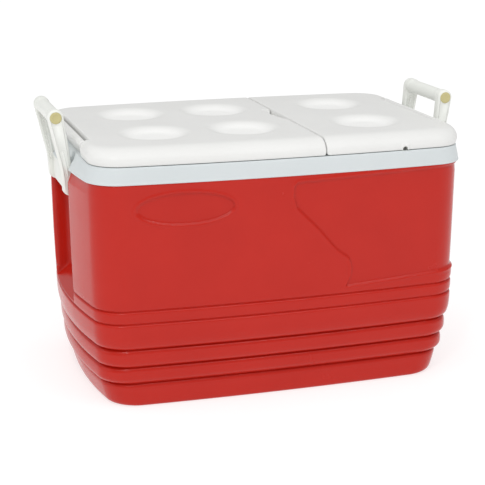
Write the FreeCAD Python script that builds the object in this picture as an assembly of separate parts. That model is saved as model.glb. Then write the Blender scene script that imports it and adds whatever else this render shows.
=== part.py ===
import FreeCAD, Part
import math
import os

# Ice chest with a two-part lid and a bail handle at each end.
# Millimetres. Origin at the middle of the base, +X along the length,
# +Y towards the back, +Z up.

V = FreeCAD.Vector

# ---- driving dimensions -------------------------------------------------
BODY_TOP = 367.7        # top edge of the red shell, underside of the collar
COLLAR_TOP = 395.0      # face the lids close on
LID_BOTTOM = 396.0      # lower edge of the lid skirts
LID_TOP = 422.5         # flat of the lids
BODY_A = 298.6          # shell half length at the sharp corner
BODY_B = 207.9          # shell half depth at the sharp corner
END_BOW = 28.0          # outward bow of the shell's ends
SIDE_BOW = 13.0         # outward bow of front and back
CORNER_R = 51.0         # plan radius of the shell's corners
COLLAR_A = 303.2        # collar half length at the sharp corner
COLLAR_R = 55.0         # plan radius of the collar's corners
SLOT_HALF = 76.2        # half width over the two slots for the handle arms
SHELL_T = 2.6           # shell wall at the handle bays
SKIN_T = 2.8            # lid and collar wall
LINER_T = 2.4           # tub wall
LINER_A = 269.0         # tub mouth half length
LINER_B = 178.0         # tub mouth half depth
TUB_FLOOR = 34.0        # inside floor of the tub
SEAM_X = 62.5           # parting line between the two lids
SEAM_GAP = 1.5          # gap between the two lids
LID_A = 306.5           # lid half length at the sharp corner
LID_B = 205.8           # lid half depth at the sharp corner
LID_R = 50.0            # plan radius of the lid corners
HINGE_X = 301.5         # lid hinge axis, distance from the middle
HINGE_Z = 415.3         # lid hinge axis height
RAIL_HALF = 117.0       # half length of the hinge rail on the collar
RAIL_R = 5.7            # round bar along the top of the hinge rail
NOTCH_X = 291.8         # inner wall of the slot in the lid's end
ROD_R = 2.5             # lid hinge rod
ROD_HALF = 130.0        # half length of the lid hinge rod
DISH_R = 61.0           # rim radius of the drink dishes
DISH_DEPTH = 8.0
DISH_Y = 87.0
LEFT_DISH_X = (-182.5, -34.5)
RIGHT_DISH_X = (177.0,)
PIVOT_X = 315.5         # handle pivot
PIVOT_Z = 338.0
LEFT_GRIP_X = 335.6     # grip axes with the handles standing up: each leans
RIGHT_GRIP_X = 328.8    # outwards by its own small angle
GRIP_Z = 451.0
GRIP_R = 11.6
CORE_R = 9.3            # core rod seen at the ends of the grip
ARM_OUT = 75.0          # outer faces of the two handle arms
ARM_T = 14.0            # arm thickness along Y
ARM_HALF = 9.0          # half width of an arm at its narrowest
ARM_WAIST = 35.0        # distance of the narrowest place from the pivot
HUB_R = 13.0            # lower end of an arm
HEAD_R = 13.0           # upper end of an arm
PIN_R = 4.0
RUN = 0.05              # radial running clearance
BAY_HALF = 80.0         # half width of the handle bay in each end
BAY_X = 292.0           # back wall of the handle bay
APRON_BOTTOM = 322.0    # lower edge of the white handle block
APRON_HALF = 60.4
DEBOSS = 2.4            # depth of the sunk panels on the front

# Height and inset of the shell's outline, from the foot upwards. Each band
# of the stepped foot has a small lip, a plumb face and a tucked-in lower edge.
SHELL_PROFILE = (
    (0.0, 33.5), (1.5, 29.5), (4.0, 27.2), (9.0, 25.8), (30.8, 25.3),
    (33.8, 25.6), (36.2, 26.3), (38.1, 27.6), (39.2, 29.1), (39.8, 30.1), (41.4, 25.4),
    (45.0, 20.8), (50.0, 18.0), (57.0, 17.0), (61.2, 16.8), (64.2, 17.1), (66.6, 17.8),
    (68.5, 19.1), (69.6, 20.6), (70.2, 21.6), (71.8, 16.8), (75.5, 12.8), (81.0, 10.6),
    (88.0, 9.8), (92.8, 9.6), (95.8, 9.9), (98.2, 10.6), (100.1, 11.9), (101.2, 13.4),
    (101.8, 14.4), (103.4, 9.6), (107.5, 5.8), (114.0, 3.4), (122.0, 2.2), (141.0, 1.6),
    (143.4, 2.0), (145.0, 3.2), (146.0, 5.0), (147.8, 2.6), (152.0, 1.6), (162.0, 1.4),
    (164.4, 1.8), (166.0, 3.0), (167.0, 4.8), (168.8, 2.4), (173.0, 1.3), (190.0, 1.2),
    (350.0, 0.2),
)

INNER_PROFILE = (
    (2.6, 33.6), (10.0, 29.2), (40.0, 32.8), (46.0, 24.4), (70.0, 24.6),
    (80.0, 14.8), (102.0, 17.4), (116.0, 7.2), (146.0, 8.0), (167.0, 7.8),
    (174.0, 5.0), (190.0, 4.8), (350.0, 3.8),
)

# Height and how far the shell's ends swell beyond the even taper.
END_SWELL = (
    (0.0, -3.1), (40.0, 6.8), (75.0, 2.0), (115.0, -2.4), (160.0, -2.1), (230.0, -0.7),
    (BODY_TOP, 0.0),
)

# Height with the lid's inset along Y and along X: a soft shoulder in front
# and behind, a tighter one at the ends.
LID_PROFILE = (
    (LID_BOTTOM, 1.6, 3.5), (398.6, 0.4, 2.0), (403.0, 0.3, 0.5),
    (409.0, 2.4, 0.0), (414.0, 6.4, 1.0), (418.0, 12.0, 3.0),
    (420.8, 18.0, 5.8), (422.0, 23.0, 8.2), (LID_TOP, 28.0, 10.5),
)


# ---- plan outlines ------------------------------------------------------
def corner_points(a, b, r, bow_x, bow_y):
    """Tangent points of one corner blended between two bowed sides."""
    r1 = (a * a + bow_y * bow_y) / (2.0 * bow_y)
    r2 = (b * b + bow_x * bow_x) / (2.0 * bow_x)
    c1 = V(0, r1 - b - bow_y, 0)
    c2 = V(a + bow_x - r2, 0, 0)
    d1 = r1 - r
    d2 = r2 - r
    gap = c2.sub(c1)
    dist = gap.Length
    along = (d1 * d1 - d2 * d2 + dist * dist) / (2.0 * dist)
    off = math.sqrt(d1 * d1 - along * along)
    unit = V(gap.x / dist, gap.y / dist, 0)
    normal = V(-unit.y, unit.x, 0)
    centre = c1.add(V(unit.x * along, unit.y * along, 0))
    first = centre.add(V(normal.x * off, normal.y * off, 0))
    second = centre.sub(V(normal.x * off, normal.y * off, 0))
    p = first if first.x - first.y > second.x - second.y else second
    u1 = p.sub(c1).normalize()
    u2 = p.sub(c2).normalize()
    t1 = c1.add(V(u1.x * r1, u1.y * r1, 0))
    t2 = c2.add(V(u2.x * r2, u2.y * r2, 0))
    um = u1.add(u2).normalize()
    mid = p.add(V(um.x * r, um.y * r, 0))
    return t1, mid, t2


def outline(a, b, r, bow_x, bow_y, z):
    """Closed rounded rectangle with bowed sides at height z."""
    t1, mid, t2 = corner_points(a, b, r, bow_x, bow_y)

    def at(p, sx, sy):
        return V(p.x * sx, p.y * sy, z)

    front = V(0, -b - bow_y, z)
    back = V(0, b + bow_y, z)
    right = V(a + bow_x, 0, z)
    left = V(-a - bow_x, 0, z)
    arcs = (
        (at(t1, -1, 1), front, at(t1, 1, 1)),
        (at(t1, 1, 1), at(mid, 1, 1), at(t2, 1, 1)),
        (at(t2, 1, 1), right, at(t2, 1, -1)),
        (at(t2, 1, -1), at(mid, 1, -1), at(t1, 1, -1)),
        (at(t1, 1, -1), back, at(t1, -1, -1)),
        (at(t1, -1, -1), at(mid, -1, -1), at(t2, -1, -1)),
        (at(t2, -1, -1), left, at(t2, -1, 1)),
        (at(t2, -1, 1), at(mid, -1, 1), at(t1, -1, 1)),
    )
    return Part.Wire([Part.Arc(*arc).toShape() for arc in arcs])


def stack(wires):
    """Solid ruled through a stack of outlines."""
    solid = Part.makeLoft(wires, True, True)
    if solid.Volume < 0:
        solid.reverse()
    return solid


def end_swell(z):
    """Swell of the ends at height z, read between the rows of the table."""
    for (z0, s0), (z1, s1) in zip(END_SWELL[:-1], END_SWELL[1:]):
        if z <= z1:
            return s0 + (s1 - s0) * (z - z0) / (z1 - z0)
    return 0.0


def shell_outline(inset, z):
    """Outline of the shell: the bows ease off towards the foot."""
    ease = min(inset, 26.0) / 26.0
    lift = max(0.0, z - 350.0) / (BODY_TOP - 350.0)
    a = BODY_A - 0.88 * inset + end_swell(z) + 1.0 * lift
    b = BODY_B - 0.87 * inset
    bow_x = END_BOW - 5.0 * ease - 9.0 * lift
    bow_y = SIDE_BOW - 5.5 * ease
    return outline(a, b, CORNER_R, bow_x, bow_y, z)


def slab(x0, x1, y0, y1, z0, z1):
    return Part.makeBox(x1 - x0, y1 - y0, z1 - z0, V(x0, y0, z0))


def across(radius, x, z, y0, y1):
    """Cylinder lying along Y."""
    return Part.makeCylinder(radius, y1 - y0, V(x, y0, z), V(0, 1, 0))


def prism_y(points, y0, y1):
    """Flat outline in the XZ plane pulled along Y."""
    ring = [V(x, y0, z) for x, z in points]
    face = Part.Face(Part.makePolygon(ring + [ring[0]]))
    return face.extrude(V(0, y1 - y0, 0))


def flipped(shape):
    """The same piece at the other end of the chest."""
    return shape.mirror(V(0, 0, 0), V(1, 0, 0))


# ---- red shell ----------------------------------------------------------
def bay_tool(grow):
    """Space for the handle in the left end, with a sloped lower ledge."""
    x = -BAY_X + grow
    points = (
        (-360.0, BODY_TOP + 30), (x, BODY_TOP + 30), (x, 172.0 - grow),
        (-318.0, 151.0 - grow), (-360.0, 113.0 - grow),
    )
    half = BAY_HALF + grow
    return prism_y(points, -half, half)


def oval_tool():
    """Long oval sunk into the left of the front."""
    ellipse = Part.Ellipse(V(0, 0, 0), 77.0, 25.0).toShape()
    ellipse.rotate(V(0, 0, 0), V(1, 0, 0), 90)
    ellipse.translate(V(-164.5, -260, 327))
    return Part.Face(Part.Wire([ellipse])).extrude(V(0, 90, 0))


def sweep_tool():
    """Sunk panel that runs down from the left and round the right corner."""
    spline = Part.BSplineCurve()
    spline.interpolate([V(14, -260, 315), V(48, -260, 281), V(82, -260, 243), V(102, -260, 228)])
    corner = Part.Arc(V(9, -260, 346), V(11.5, -260, 353.5), V(19, -260, 357)).toShape()
    top = Part.LineSegment(V(19, -260, 357), V(400, -260, 369)).toShape()
    side = Part.LineSegment(V(400, -260, 369), V(400, -260, 195)).toShape()
    foot = Part.LineSegment(V(400, -260, 195), V(98, -260, 180)).toShape()
    tip = Part.LineSegment(V(98, -260, 180), V(106, -260, 194)).toShape()
    neck = Part.Arc(V(106, -260, 194), V(108.5, -260, 211), V(102, -260, 228)).toShape()
    low = Part.LineSegment(V(14, -260, 315), V(9, -260, 332)).toShape()
    left = Part.LineSegment(V(9, -260, 332), V(9, -260, 346)).toShape()
    parts = [corner, top, side, foot, tip, neck, spline.toShape(), low, left]
    wire = Part.Wire(Part.__sortEdges__(parts))
    return Part.Face(wire).extrude(V(0, 152, 0))


def shell_solid():
    wires = [shell_outline(inset, z) for z, inset in SHELL_PROFILE]
    wires.append(shell_outline(0.0, BODY_TOP))
    return stack(wires)


def shell_cavity():
    wires = [shell_outline(inset, z) for z, inset in INNER_PROFILE]
    wires.append(shell_outline(3.6, BODY_TOP))
    cavity = stack(wires)
    for tool in (bay_tool(SHELL_T), flipped(bay_tool(SHELL_T))):
        cavity = cavity.cut(tool)
    return cavity


def make_outer_shell(cavity):
    body = shell_solid()
    core = stack([shell_outline(1.3 + DEBOSS, 170.0), shell_outline(0.1 + DEBOSS, 366.0)])
    for tool in (oval_tool(), sweep_tool()):
        body = body.cut(tool.cut(core))
    for tool in (bay_tool(0.0), flipped(bay_tool(0.0))):
        body = body.cut(tool)
    return body.cut(cavity)


# ---- tub and foam -------------------------------------------------------
def tub_block(grow, floor, top):
    low = outline(LINER_A - 12 + grow, LINER_B - 12 + grow, 34 + grow, 3, 6, floor + 14)
    foot = outline(LINER_A - 22 + grow, LINER_B - 22 + grow, 28 + grow, 3, 5, floor)
    high = outline(LINER_A + grow, LINER_B + grow, 42 + grow, 3, 8, top)
    return stack([foot, low, high])


def make_inner_liner():
    outer = tub_block(LINER_T, TUB_FLOOR - LINER_T, COLLAR_TOP - SKIN_T)
    inner = tub_block(0.0, TUB_FLOOR, COLLAR_TOP - SKIN_T)
    return outer.cut(inner)


def collar_cavity():
    low = outline(298.0, 205.5, 46, 1.0, SIDE_BOW, BODY_TOP)
    high = outline(298.0, 205.5, 46, 1.0, SIDE_BOW, COLLAR_TOP - SKIN_T)
    return stack([low, high])


def make_body_foam(cavity):
    block = cavity.fuse(collar_cavity())
    tub = tub_block(LINER_T, TUB_FLOOR - LINER_T, COLLAR_TOP - SKIN_T)
    return block.cut(tub)


# ---- collar -------------------------------------------------------------
def hinge_rail():
    """Round bar on a thin upright web; the lid rod runs through the bar."""
    x1 = -HINGE_X + RAIL_R - 0.4
    web = slab(x1 - 3.6, x1, -RAIL_HALF, RAIL_HALF, COLLAR_TOP - 2, HINGE_Z)
    crown = across(RAIL_R, -HINGE_X, HINGE_Z, -RAIL_HALF, RAIL_HALF)
    return web.fuse(crown)


def handle_block():
    """Block between the arms that carries the handle pins."""
    points = (
        (-BAY_X - 0.2, APRON_BOTTOM), (-315.0, APRON_BOTTOM), (-319.0, APRON_BOTTOM + 4),
        (-320.6, APRON_BOTTOM + 14), (-320.6, BODY_TOP + 4), (-BAY_X - 0.2, BODY_TOP + 4),
    )
    block = prism_y(points, -APRON_HALF, APRON_HALF)
    hollow = slab(-316.6, -BAY_X + 5, -APRON_HALF + 9, APRON_HALF - 9, APRON_BOTTOM + 4, BODY_TOP)
    return block.cut(hollow)


def collar_ring():
    b = BODY_B + 0.4
    levels = (
        (BODY_TOP, COLLAR_A, b, 19.0), (375.0, COLLAR_A + 0.6, b, 15.5),
        (386.0, COLLAR_A + 0.8, b, 7.0), (392.6, COLLAR_A + 0.8, b, 4.4),
        (COLLAR_TOP, COLLAR_A - 0.8, b - 1.8, 4.4),
    )
    wires = [outline(a, b, COLLAR_R, bow, SIDE_BOW, z) for z, a, b, bow in levels]
    return stack(wires)


def make_rim_collar():
    ring = collar_ring()
    slots = slab(-360, -305.0, -SLOT_HALF, SLOT_HALF, 340, COLLAR_TOP + 10)
    ring = ring.cut(slots).cut(flipped(slots))
    lobe = collar_ring().common(slab(-360, -300, -APRON_HALF, APRON_HALF, BODY_TOP, COLLAR_TOP))
    ends = lobe.fuse(handle_block()).fuse(hinge_rail())
    collar = ring.fuse(ends).fuse(flipped(ends))
    collar = collar.cut(collar_cavity())
    opening = outline(LINER_A, LINER_B, 42, 3, 8, COLLAR_TOP - SKIN_T - 1)
    upper = outline(LINER_A, LINER_B, 42, 3, 8, COLLAR_TOP + 1)
    collar = collar.cut(stack([opening, upper]))
    pin_bore = across(PIN_R, -PIVOT_X, PIVOT_Z, -90, 90)
    rod_bore = across(ROD_R, -HINGE_X, HINGE_Z, -120, 120)
    for bore in (pin_bore, rod_bore):
        collar = collar.cut(bore).cut(flipped(bore))
    return collar


# ---- lids ---------------------------------------------------------------
def lid_block(inset, top):
    wires = []
    for z, in_y, in_x in LID_PROFILE:
        height = LID_BOTTOM - 5 if z == LID_BOTTOM and inset else z
        if inset:
            height = min(height, top - 0.02 * (LID_TOP - z))
        a = LID_A - in_x - inset
        b = LID_B - in_y - inset
        wires.append(outline(a, b, LID_R - 0.25 * in_y, 1.2, SIDE_BOW, height))
    return stack(wires)


def dish_tool(x, y, grow):
    """Shallow round dish with soft edges; grow thickens it for the inside."""
    floor = LID_TOP - DISH_DEPTH - grow
    profile = [
        V(0, 0, floor), V(42 + 0.5 * grow, 0, floor), V(51 + grow, 0, floor + 2.0),
        V(57 + grow, 0, floor + 5.2), V(DISH_R + grow, 0, LID_TOP + 0.05),
        V(DISH_R + grow, 0, LID_TOP + 6), V(0, 0, LID_TOP + 6),
    ]
    face = Part.Face(Part.makePolygon(profile + [profile[0]]))
    tool = face.revolve(V(0, 0, 0), V(0, 0, 1), 360)
    tool.translate(V(x, y, 0))
    return tool


def scoop_tool(grow):
    """Finger hollow in the left lid beside the parting line."""
    z0 = 411.5 - grow
    edge = SEAM_X + 2
    curve = Part.Arc(V(edge, -56 - grow, z0), V(48 - grow, 6, z0), V(45 - grow, 60 + grow, z0))
    back = Part.LineSegment(V(45 - grow, 60 + grow, z0), V(edge, 63 + grow, z0))
    close = Part.LineSegment(V(edge, 63 + grow, z0), V(edge, -56 - grow, z0))
    wire = Part.Wire([curve.toShape(), back.toShape(), close.toShape()])
    return Part.Face(wire).extrude(V(0, 0, 30))


def notch_tool(grow):
    """Space in the lid's end for the hinge rail."""
    x1 = -NOTCH_X + grow
    half = RAIL_HALF + 0.6 + grow
    return slab(-330, x1, -half, half, 380, 440)


def ear_block():
    """Solid corners each side of the rail that hold the rod."""
    ears = slab(-310, -285, RAIL_HALF, RAIL_HALF + 17, 380, 440)
    return ears.fuse(slab(-310, -285, -RAIL_HALF - 17, -RAIL_HALF, 380, 440))


def plug_outline(x0, x1, half, z):
    """Rounded rectangle of the underside plug."""
    r = 26.0
    y = half
    p = [
        (V(x0 + r, -y, z), V(x1 - r, -y, z)), (V(x1, -y + r, z), V(x1, y - r, z)),
        (V(x1 - r, y, z), V(x0 + r, y, z)), (V(x0, y - r, z), V(x0, -y + r, z)),
    ]
    k = r * (1 - math.sqrt(0.5))
    m = [V(x1 - k, -y + k, z), V(x1 - k, y - k, z), V(x0 + k, y - k, z), V(x0 + k, -y + k, z)]
    edges = []
    for i in range(4):
        edges.append(Part.LineSegment(p[i][0], p[i][1]).toShape())
        edges.append(Part.Arc(p[i][1], m[i], p[(i + 1) % 4][0]).toShape())
    return Part.Wire(edges)


def plug_block(x0, x1, inset, z0, z1):
    low = plug_outline(x0 + inset, x1 - inset, 172 - inset, z0)
    high = plug_outline(x0 + inset - 1, x1 - inset + 1, 173 - inset, z1)
    return stack([low, high])


def make_lid(inner_x, outer_x, dishes, end_tools, hollow_tools):
    """Lid top, foam and underside for the span between two planes."""
    x0, x1 = min(inner_x, outer_x), max(inner_x, outer_x)
    outer = lid_block(0.0, LID_TOP).common(slab(x0, x1, -260, 260, 370, 440))
    wall0 = x0 + (SKIN_T if x0 == inner_x else 0)
    wall1 = x1 - (SKIN_T if x1 == inner_x else 0)
    cavity = lid_block(SKIN_T, LID_TOP - SKIN_T)
    cavity = cavity.common(slab(wall0, wall1, -260, 260, LID_BOTTOM, 440))
    for x in dishes:
        for y in (-DISH_Y, DISH_Y):
            outer = outer.cut(dish_tool(x, y, 0.0))
            cavity = cavity.cut(dish_tool(x, y, SKIN_T))
    for tool in end_tools:
        outer = outer.cut(tool)
    for tool in hollow_tools:
        cavity = cavity.cut(tool)
    top = outer.cut(cavity)
    plug0 = -265.0 if outer_x < 0 else inner_x + 12
    plug1 = inner_x - 12 if outer_x < 0 else 265.0
    plate = cavity.common(slab(-400, 400, -260, 260, LID_BOTTOM, LID_BOTTOM + LINER_T))
    plug = plug_block(plug0, plug1, 0.0, 383.5, LID_BOTTOM)
    inside = plug_block(plug0, plug1, LINER_T, 386.5, LID_BOTTOM + LINER_T)
    liner = plate.fuse(plug).cut(inside)
    upper = cavity.cut(slab(-400, 400, -260, 260, LID_BOTTOM - 1, LID_BOTTOM + LINER_T))
    foam = upper.fuse(inside)
    return top, foam, liner


def make_left_lid():
    end = notch_tool(0.0)
    rod = across(ROD_R + RUN, -HINGE_X, HINGE_Z, -ROD_HALF - 1, ROD_HALF + 1)
    tools = (end, rod, scoop_tool(0.0))
    hollow = (notch_tool(SKIN_T), ear_block(), scoop_tool(SKIN_T))
    return make_lid(SEAM_X - SEAM_GAP / 2, -330.0, LEFT_DISH_X, tools, hollow)


def make_right_lid():
    end = flipped(notch_tool(0.0))
    rod = flipped(across(ROD_R + RUN, -HINGE_X, HINGE_Z, -ROD_HALF - 1, ROD_HALF + 1))
    arch = Part.makeCylinder(4.2, 30, V(196.5, -235, 397.4), V(0, 1, 0))
    hollow_arch = slab(188.5, 204.5, -260, -203, 380, 406)
    tools = (end, rod, arch)
    hollow = (flipped(notch_tool(SKIN_T)), flipped(ear_block()), hollow_arch)
    return make_lid(SEAM_X + SEAM_GAP / 2, 330.0, RIGHT_DISH_X, tools, hollow)


def make_hinge_rod():
    return across(ROD_R, -HINGE_X, HINGE_Z, -ROD_HALF, ROD_HALF)


# ---- handles ------------------------------------------------------------
def arm_length(grip_x):
    return math.hypot(grip_x - PIVOT_X, GRIP_Z - PIVOT_Z)


def arm_frame(grip_x, s, side):
    """Point in the arm's plane: s runs from pivot to grip, side across."""
    length = arm_length(grip_x)
    ux = (PIVOT_X - grip_x) / length
    uz = (GRIP_Z - PIVOT_Z) / length
    return (-PIVOT_X + ux * s + uz * side, PIVOT_Z + uz * s - ux * side)


def arm(grip_x, y0, y1, channel_y):
    """One arm, round at both ends, with a shallow channel in its outer face."""
    length = arm_length(grip_x)
    sides = ((0, HUB_R - 1.5), (ARM_WAIST, ARM_HALF), (length, HEAD_R - 0.7))
    web = [arm_frame(grip_x, s, half) for s, half in sides]
    web += [arm_frame(grip_x, s, -half) for s, half in reversed(sides)]
    solid = prism_y(web, y0, y1)
    solid = solid.fuse(across(HUB_R, -PIVOT_X, PIVOT_Z, y0, y1))
    solid = solid.fuse(across(HEAD_R, -grip_x, GRIP_Z, y0, y1))
    corners = ((20, 5.5), (length * 0.5, 5.5), (length * 0.5, -5.5), (20, -5.5))
    trough = [arm_frame(grip_x, s, side) for s, side in corners]
    return solid.cut(prism_y(trough, channel_y, channel_y + 2.2))


def make_handle_frame(grip_x):
    inner = ARM_OUT - ARM_T
    near = arm(grip_x, -ARM_OUT, -inner, -ARM_OUT - 1)
    far = arm(grip_x, inner, ARM_OUT, ARM_OUT - 1.2)
    grip = across(GRIP_R, -grip_x, GRIP_Z, -inner - 1, inner + 1)
    shoulders = []
    for y0, y1, r0, r1 in ((-inner, -inner + 7, HEAD_R, GRIP_R), (inner - 7, inner, GRIP_R, HEAD_R)):
        cone = Part.makeCone(r0, r1, y1 - y0, V(-grip_x, y0, GRIP_Z), V(0, 1, 0))
        shoulders.append(cone)
    frame = near.fuse([far, grip] + shoulders)
    frame = frame.cut(across(CORE_R, -grip_x, GRIP_Z, -ARM_OUT - 1, ARM_OUT + 1))
    frame = frame.cut(across(PIN_R + RUN, -PIVOT_X, PIVOT_Z, -72.5, 72.5))
    return frame.removeSplitter()


def make_grip_core(grip_x):
    rod = across(CORE_R, -grip_x, GRIP_Z, -ARM_OUT - 0.6, ARM_OUT + 0.6)
    for y0, y1 in ((-ARM_OUT - 1, -ARM_OUT + 1.4), (ARM_OUT - 1.4, ARM_OUT + 1)):
        groove = across(CORE_R - 1.8, -grip_x, GRIP_Z, y0, y1)
        rod = rod.cut(groove.cut(across(CORE_R - 3.0, -grip_x, GRIP_Z, y0, y1)))
    return rod


def make_handle_pin(y0, y1):
    return across(PIN_R, -PIVOT_X, PIVOT_Z, y0, y1)


# ---- files --------------------------------------------------------------
def save(name, shape):
    shape.exportStep(os.path.join("parts", name + ".step"))
    box = shape.BoundBox
    print(name, shape.isValid(), len(shape.Solids), round(shape.Volume / 1000.0, 1), "cm3",
          [round(v, 1) for v in (box.XMin, box.XMax, box.YMin, box.YMax, box.ZMin, box.ZMax)])


def main():
    os.makedirs("parts", exist_ok=True)
    cavity = shell_cavity()
    save("outer_shell", make_outer_shell(cavity))
    save("body_foam", make_body_foam(cavity))
    save("inner_liner", make_inner_liner())
    save("rim_collar", make_rim_collar())
    for side, pieces in (("left", make_left_lid()), ("right", make_right_lid())):
        for name, piece in zip(("lid_top", "lid_foam", "lid_liner"), pieces):
            save(side + "_" + name, piece)
    handed = (
        ("lid_hinge_rod", make_hinge_rod()), ("handle_pin_front", make_handle_pin(-72.0, -52.0)),
        ("handle_pin_back", make_handle_pin(52.0, 72.0)),
    )
    for name, piece in handed:
        save("left_" + name, piece)
        save("right_" + name, flipped(piece))
    save("left_handle_frame", make_handle_frame(LEFT_GRIP_X))
    save("left_grip_core", make_grip_core(LEFT_GRIP_X))
    save("right_handle_frame", flipped(make_handle_frame(RIGHT_GRIP_X)))
    save("right_grip_core", flipped(make_grip_core(RIGHT_GRIP_X)))


main()
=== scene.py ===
import math

import bmesh
import bpy
import numpy as np
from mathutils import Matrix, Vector


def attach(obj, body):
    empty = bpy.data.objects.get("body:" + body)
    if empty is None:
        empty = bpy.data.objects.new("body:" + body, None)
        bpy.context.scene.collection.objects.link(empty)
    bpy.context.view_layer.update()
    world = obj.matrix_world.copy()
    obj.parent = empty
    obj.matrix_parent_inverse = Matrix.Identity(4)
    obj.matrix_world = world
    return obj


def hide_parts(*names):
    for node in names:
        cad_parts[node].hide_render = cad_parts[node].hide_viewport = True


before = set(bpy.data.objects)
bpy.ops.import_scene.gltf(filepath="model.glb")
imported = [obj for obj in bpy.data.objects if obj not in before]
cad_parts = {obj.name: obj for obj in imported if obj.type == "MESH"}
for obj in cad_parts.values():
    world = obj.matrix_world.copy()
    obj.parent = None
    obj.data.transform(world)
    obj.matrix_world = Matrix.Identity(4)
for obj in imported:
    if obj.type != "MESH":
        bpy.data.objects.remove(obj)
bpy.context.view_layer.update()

# Ice chest with a two-part lid and a bail handle at each end. Lengths below
# are in millimetres, in the CAD's frame; meshes are made in metres.
MM = 0.001

BODY_TOP = 367.7
COLLAR_TOP = 395.0
LID_BOTTOM = 396.0
LID_TOP = 422.5
BODY_A = 298.6
BODY_B = 207.9
CORNER_R = 51.0
COLLAR_A = 303.2
COLLAR_R = 55.0
END_BOW = 28.0
SIDE_BOW = 13.0
SHELL_T = 2.6
SKIN_T = 2.8
SEAM_X = 62.5
SEAM_GAP = 1.5
LID_A = 306.5
LID_B = 205.8
LID_R = 50.0
HINGE_X = 301.5
HINGE_Z = 415.3
RAIL_HALF = 117.0
RAIL_R = 5.7
NOTCH_X = 291.8
PIVOT_X = 315.5
PIVOT_Z = 338.0
LEFT_GRIP_X = 335.6
RIGHT_GRIP_X = 328.8
GRIP_Z = 451.0
GRIP_R = 11.6
CORE_R = 9.3
ARM_OUT = 75.0
ARM_IN = 61.0
HUB_R = 13.0
HEAD_R = 13.0
BAY_X = 292.0
BAY_LEDGE_Z = 172.0
BAY_LEDGE_SOFT = 4.0
BAY_LEDGE_RUN = 26.0
BAY_LEDGE_RISE = 21.0
APRON_HALF = 60.4
APRON_BOTTOM = 322.0

# sunk panels on the front of the shell
PANEL_DEPTH = 3.0
LIP_SHARE = 0.28
OVAL_X = -164.5
OVAL_Z = 327.0
OVAL_A = 77.0
OVAL_B = 25.0

# drink dishes, finger scoop and the small arch under the right lid
LEFT_DISH_X = (-182.5, -34.5)
RIGHT_DISH_X = (177.0,)
DISH_Y = 87.0
DISH_R = 62.2
DISH_SLOPE = 34.0
DISH_DEPTH = 8.0
SCOOP_DEPTH = 11.0
ARCH_X = 196.5
ARCH_R = 4.2
ARCH_SPAN = 261.5

# only the front and back walls reach this far from the middle plane
WALL_Y = 150.0
# end columns of a plan have a fixed y up to here, and shares of the rest beyond
FIXED_Y = 122.0

CAMERA_AZIMUTH = -17.07
CAMERA_ELEVATION = 15.53
CAMERA_DISTANCE = 2.3427
CAMERA_TARGET = (-0.0083, 0.0, 0.2037)
# name, place and aim in metres, width and height in metres, watts
LIGHTS = (
    ("key_softbox", (-3.0, 0.2, 1.1), (0, 0, 0.2), (2.4, 1.6), 6.5),
    ("front_softbox", (-0.9, -2.3, 1.4), (0, 0, 0.2), (1.0, 1.0), 3.0),
    ("front_strip", (0.85, -1.9, 2.15), (0, 0, 0.2), (1.4, 0.12), 6.0),
    ("corner_light", (-0.95, -1.9, 2.4), (-0.2, 0, 0.2), (0.2, 0.2), 9.0),
)

# height and how far the shell's outside and inside stand in from its widest outline
SHELL_PROFILE = (
    (0.0, 33.5), (1.5, 29.5), (4.0, 27.2), (9.0, 25.8), (30.8, 25.3),
    (33.8, 25.6), (36.2, 26.3), (38.1, 27.6), (39.2, 29.1), (39.8, 30.1), (41.4, 25.4),
    (45.0, 20.8), (50.0, 18.0), (57.0, 17.0), (61.2, 16.8), (64.2, 17.1), (66.6, 17.8),
    (68.5, 19.1), (69.6, 20.6), (70.2, 21.6), (71.8, 16.8), (75.5, 12.8), (81.0, 10.6),
    (88.0, 9.8), (92.8, 9.6), (95.8, 9.9), (98.2, 10.6), (100.1, 11.9), (101.2, 13.4),
    (101.8, 14.4), (103.4, 9.6), (107.5, 5.8), (114.0, 3.4), (122.0, 2.2), (141.0, 1.6),
    (143.4, 2.0), (145.0, 3.2), (146.0, 5.0), (147.8, 2.6), (152.0, 1.6), (162.0, 1.4),
    (164.4, 1.8), (166.0, 3.0), (167.0, 4.8), (168.8, 2.4), (173.0, 1.3), (190.0, 1.2),
    (350.0, 0.2), (BODY_TOP, 0.0),
)
INNER_PROFILE = (
    (BODY_TOP, 3.6), (350.0, 3.8), (190.0, 4.8), (174.0, 5.0), (167.0, 7.8),
    (146.0, 8.0), (116.0, 7.2), (102.0, 17.4), (80.0, 14.8), (70.0, 24.6),
    (46.0, 24.4), (40.0, 32.8), (10.0, 29.2), (SHELL_T, 33.6),
)
# height and how far the shell's ends swell beyond the even taper
END_SWELL = (
    (0.0, -3.1), (40.0, 6.8), (75.0, 2.0), (115.0, -2.4), (160.0, -2.1), (230.0, -0.7),
    (BODY_TOP, 0.0),
)


# ---- small tools --------------------------------------------------------
def smooth01(t):
    t = np.clip(t, 0.0, 1.0)
    return t * t * (3.0 - 2.0 * t)


def rounded(points, passes):
    """Corner cutting on a polyline that keeps its two ends."""
    p = np.array(points, float)
    for _ in range(passes):
        q = p[:-1] * 0.75 + p[1:] * 0.25
        r = p[:-1] * 0.25 + p[1:] * 0.75
        mid = np.empty((2 * len(q), p.shape[1]))
        mid[0::2] = q
        mid[1::2] = r
        p = np.vstack((p[:1], mid, p[-1:]))
    return p


def refined(points, step):
    """Extra points so that no gap along the first column is over step."""
    out = [points[0]]
    for a, b in zip(points[:-1], points[1:]):
        n = max(1, int(math.ceil(abs(b[0] - a[0]) / step)))
        for i in range(1, n + 1):
            out.append(a + (b - a) * i / n)
    return np.array(out)


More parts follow.
